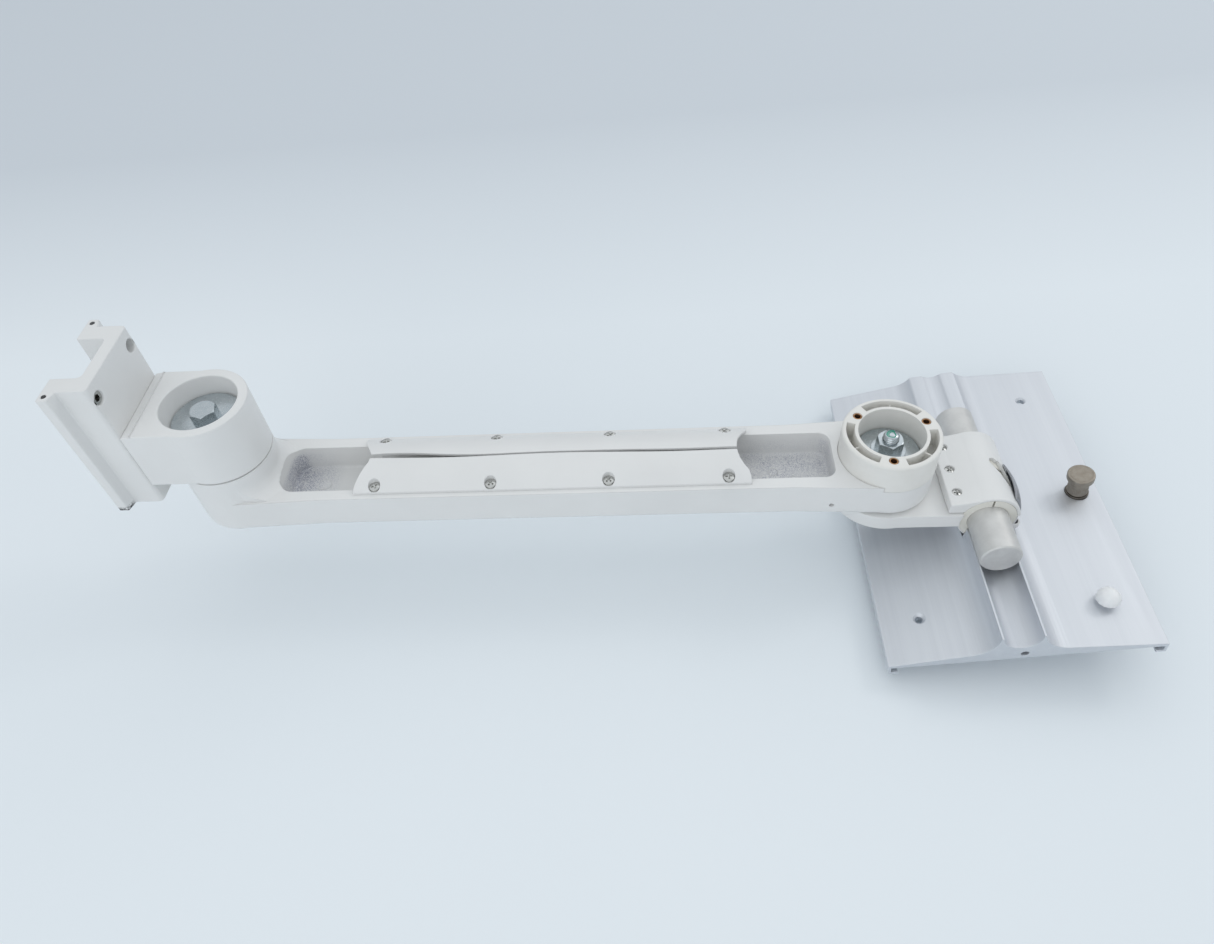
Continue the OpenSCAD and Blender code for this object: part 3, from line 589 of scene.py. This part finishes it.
# ------------------------------------------------------------------ threaded bolt end with thread lock
def thread(bm, place, z0, z1, major, minor, pitch):
    """Threaded cylinder, drawn as a height field round its axis. Its last millimetre is chamfered."""
    turns = 40
    steps = int((z1 - z0) / pitch * 10)
    rings = []
    for i in range(steps + 1):
        z = z0 + (z1 - z0) * i / steps
        limit = min(1.0, z1 - z)
        ring = []
        for k in range(turns):
            t = 2 * math.pi * k / turns
            phase = (z / pitch - k / turns) % 1.0
            r = minor + (major - minor) * (1 - abs(2 * phase - 1))
            r = min(r, minor - 0.1 + (major - minor + 0.1) * limit)
            ring.append(bm.verts.new(place @ Vector((r * MM * math.cos(t), r * MM * math.sin(t), z * MM))))
        rings.append(ring)
    for a, b in zip(rings, rings[1:]):
        for k in range(turns):
            j = (k + 1) % turns
            bm.faces.new((a[k], a[j], b[j], b[k]))
    bm.faces.new(rings[-1])
    bm.faces.new(rings[0])


def tip_bolt():
    """The CAD bolt up to a cut inside the nut, and a real thread from there to the bolt's end."""
    cut = 36
    bm = cad_copy("tip_bolt")
    bmesh.ops.bisect_plane(bm, geom=bm.verts[:] + bm.edges[:] + bm.faces[:],
                           plane_co=TIP + Vector((0, 0, cut * MM)), plane_no=(0, 0, 1), clear_outer=True)
    bmesh.ops.holes_fill(bm, edges=[e for e in bm.edges if e.is_boundary])
    thread(bm, Matrix.Translation(TIP), cut - 0.4, BOLT_END, major=4.74, minor=4.1, pitch=1.5875)
    finish_piece("tip_bolt_piece", bm, zinc, "tilt_head", "zinc_steel", "tip_bolt", smooth=50)


def thread_lock_swirl():
    """A flattened bead of green locking paint, wound nearly one and a half times round the bolt's end."""
    loops, steps, start = 1.45, 60, 0.8
    level_z = BOLT_END - 0.08
    bm = bmesh.new()
    swirl = []
    for k in range(steps + 1):
        t = 2 * math.pi * loops * k / steps
        r = 3.1 - 1.5 * k / steps + 0.22 * math.sin(3.1 * t)
        swirl.append(TIP + Vector((r * math.cos(t + start), r * math.sin(t + start), level_z)) * MM)
    sweep(bm, swirl, 0.42 * MM)
    middle = TIP + Vector((0, 0, level_z * MM))
    bmesh.ops.scale(bm, vec=(1, 1, 0.5), space=Matrix.Translation(-middle), verts=bm.verts)
    finish_piece("thread_lock_swirl", bm, thread_lock, "tilt_head", "cream_plastic", smooth=60)


tip_bolt()
thread_lock_swirl()


# ------------------------------------------------------------------ brass inserts in the cup's rim
def insert_knurl(r, z, t):
    """Straight knurl round an insert's outside."""
    return r + 0.13 * math.cos(18 * t) if r > 2.5 else r


def ring_inserts():
    """Three threaded sleeves on a circle round the tip bolt."""
    circle = 23
    sleeves = bmesh.new()
    bores = bmesh.new()
    sleeve = [(2.6, 33), (2.6, 42.3), (2.4, 42.68), (1.98, 42.68), (1.92, 42.5), (1.92, 33)]
    thread_wall = [(1.65 + 0.22 * (k % 2), 42.0 - 0.25 * k) for k in range(30)]
    for angle in (21, 141, 261):
        t = math.radians(angle)
        at = Matrix.Translation(TIP + Vector((math.cos(t), math.sin(t), 0)) * circle * MM)
        lathe(sleeves, sleeve, at, 36, insert_knurl)
        lathe(bores, [(1.91, 33), (1.91, 42.2), (1.80, 42.2)] + thread_wall + [(1.65, 33)], at, 24)
    finish_piece("ring_inserts_piece", sleeves, brass, "arm", "brass_inserts", "ring_inserts")
    # The bores are coloured near black: painted shade inside the sleeves.
    finish_piece("ring_insert_threads", bores, brass_bore_shade, "arm", "brass_inserts")


ring_inserts()


# ------------------------------------------------------------------ plunger and nylon screw
def neck_knurl(r, z, t):
    """Straight knurl round the plunger's neck."""
    return r + 0.16 * math.cos(40 * t) - 0.16 if 6.3 < z < 13.0 and 5.9 < r < 6.3 else r


def plunger_knob():
    bm = bmesh.new()
    skirt = [(5.25, 5.6), (6.0, 5.6)] + [(6.15, 5.75 + 0.55 * k) for k in range(15)]
    shoulder = [(6.15, 14.8), (6.0, 15.0), (6.0, 16.88)]
    groove = [(8, 17.9), (7.82, 18.05), (8, 18.2)]
    head = arc(7.35, 17.5, 0.62, -90, 0, 4) + groove + arc(7.3, 20.45, 0.7, 0, 90, 5)
    face = [(6.6, 21.15), (6.45, 21.02), (6.3, 21.02), (6.15, 21.15), (0, 21.15)]
    inside = [(0, 13.9), (5.25, 13.9)]
    lathe(bm, skirt + shoulder + head + face + inside, PLUNGER, 120, neck_knurl)
    finish_piece("plunger_knob_piece", bm, nickel, "plunger", "nickel", "plunger_knob")


def plunger_barrel():
    bm = bmesh.new()
    seat = [(4.2, 0.2), (4.95, 0.2), (4.95, 3), (6.9, 3)]
    tube = [(4.9, 5.2), (4.9, 13), (2.1, 13), (2.1, 11.6), (4.2, 11.6)]
    lathe(bm, seat + arc(6.5, 4.8, 0.4, 0, 90, 3) + tube, PLUNGER, 64)
    finish_piece("plunger_barrel_piece", bm, dark_nickel, "plate_body", "nickel", "plunger_barrel")


def scalloped(r, z, t):
    """Shallow finger scallops round the rim of the nylon knob."""
    return r - 0.22 * (0.5 - 0.5 * math.cos(14 * t)) if r > 4 else r


def nylon_screw():
    bm = bmesh.new()
    angles = [math.radians(a) for a in range(10, 91, 8)]
    dome = [(6.75 * math.sin(a), 8.35 + 6.8 * math.cos(a)) for a in angles]
    base = [(6.78, 8.2), (6.4, 8.02), (2.3, 8.02)]
    shank = [(2.1 - 0.22 * (k % 2), 8 - 0.35 * k) for k in range(35)]
    lathe(bm, [(0, 15.15)] + dome + base + shank + [(1.6, -4.3), (0, -4.45)], NYLON, 84, scalloped)
    finish_piece("nylon_screw_piece", bm, nylon, "nylon_screw_body", "nylon", "nylon_screw", smooth=60)


plunger_knob()
plunger_barrel()
nylon_screw()


# ------------------------------------------------------------------ cast marks in the trough
def ejector_marks():
    """Faint raised rings that the mould's ejector pins left, two near the tip and one near the hub."""
    bm = bmesh.new()
    for x, y, radius in ((339.4, 2.9, 3.1), (352, -4, 3.1), (50, 3, 4.5)):
        ring = []
        for k in range(41):
            t = 2 * math.pi * k / 40
            out = Vector((x + radius * math.cos(t), y + radius * math.sin(t), TROUGH_FLOOR + 0.02))
            ring.append(HUB + out * MM)
        sweep(bm, ring, 0.16 * MM, 6)
    finish_piece("ejector_marks", bm, white_paint, "arm", "white_paint", smooth=60)


ejector_marks()


# ------------------------------------------------------------------ floor, lights, camera
def floor_paper():
    """Pale paper, with painted shade that makes it darker towards the back."""
    look = Look("floor_paper", (0.80, 0.85, 0.885), roughness=0.75)
    paper = look.ramp(look.noise(1.4, 3, 0.5), [(0.3, (0.80, 0.85, 0.885)), (0.7, (0.83, 0.875, 0.905))])
    x, y, z = look.split()
    # Painted shade: the paper darkens towards the back.
    far_shade = look.span(look.math("ADD", y, look.times(x, -0.06)), 0.24, 0.62)
    look.colour(look.mix(far_shade, paper, (0.64, 0.685, 0.73)))
    return look.material


def lay_floor():
    """A wide floor, 6 mm below the part's lowest point."""
    bm = bmesh.new()
    bmesh.ops.create_grid(bm, x_segments=2, y_segments=2, size=6)
    me = bpy.data.meshes.new("floor")
    bm.to_mesh(me)
    bm.free()
    me.materials.append(floor_paper())
    floor = bpy.data.objects.new("floor", me)
    floor.location = (0.3, 0, -0.1352)
    bpy.context.scene.collection.objects.link(floor)


def studio():
    """Light from all round, grey at the horizon and bright overhead."""
    world = bpy.data.worlds.new("studio")
    bpy.context.scene.world = world
    world.use_nodes = True
    tree = world.node_tree
    background = tree.nodes["Background"]
    sky = tree.nodes.new("ShaderNodeTexCoord")
    height = tree.nodes.new("ShaderNodeSeparateXYZ")
    ramp = tree.nodes.new("ShaderNodeValToRGB")
    horizon, overhead = ramp.color_ramp.elements
    horizon.position = 0.0
    horizon.color = (0.42, 0.45, 0.49, 1)
    overhead.position = 0.75
    overhead.color = (0.92, 0.965, 1.0, 1)
    tree.links.new(sky.outputs["Generated"], height.inputs["Vector"])
    tree.links.new(height.outputs["Z"], ramp.inputs["Fac"])
    tree.links.new(ramp.outputs["Color"], background.inputs["Color"])
    background.inputs["Strength"].default_value = 0.88


def area(name, at, to, size, power, colour):
    """A rectangular lamp at one place that points to another."""
    data = bpy.data.lights.new(name, "AREA")
    data.shape = "RECTANGLE"
    data.size, data.size_y = size
    data.energy = power
    data.color = colour
    o = bpy.data.objects.new(name, data)
    o.location = at
    o.rotation_euler = (Vector(to) - Vector(at)).to_track_quat("-Z", "Y").to_euler()
    bpy.context.scene.collection.objects.link(o)


def lamps():
    area("key", (1.97, 0.77, 1.42), (0.45, 0, -0.08), (0.55, 0.5), 3.8, (1.0, 0.985, 0.96))
    area("fill", (-0.6, -1.8, 0.85), (0.3, 0, -0.05), (2.2, 1.4), 8, (0.97, 0.985, 1.0))
    area("back", (1.0, 1.7, 1.7), (0.45, 0, -0.05), (2.6, 1.6), 3.2, (0.97, 0.985, 1.0))


def camera():
    """From the front and above, turned a little to the left and rolled."""
    pitch, yaw, roll = (math.radians(a) for a in (48.286, 5.626, 5.829))
    fwd = Vector((-math.sin(yaw) * math.cos(pitch), math.cos(yaw) * math.cos(pitch), -math.sin(pitch)))
    right0 = Vector((math.cos(yaw), math.sin(yaw), 0))
    down0 = fwd.cross(right0)
    right = math.cos(roll) * right0 + math.sin(roll) * down0
    down = -math.sin(roll) * right0 + math.cos(roll) * down0
    data = bpy.data.cameras.new("camera")
    data.sensor_width = 36
    data.lens = 25.32247
    cam = bpy.data.objects.new("camera", data)
    m = Matrix((right, -down, -fwd)).transposed().to_4x4()
    m.translation = Vector((0.33195, -0.3560, 0.33935))
    cam.matrix_world = m
    data.clip_start, data.clip_end = 0.01, 30
    bpy.context.scene.collection.objects.link(cam)
    bpy.context.scene.camera = cam


lay_floor()
studio()
lamps()
camera()
bpy.context.scene.view_settings.view_transform = "Standard"
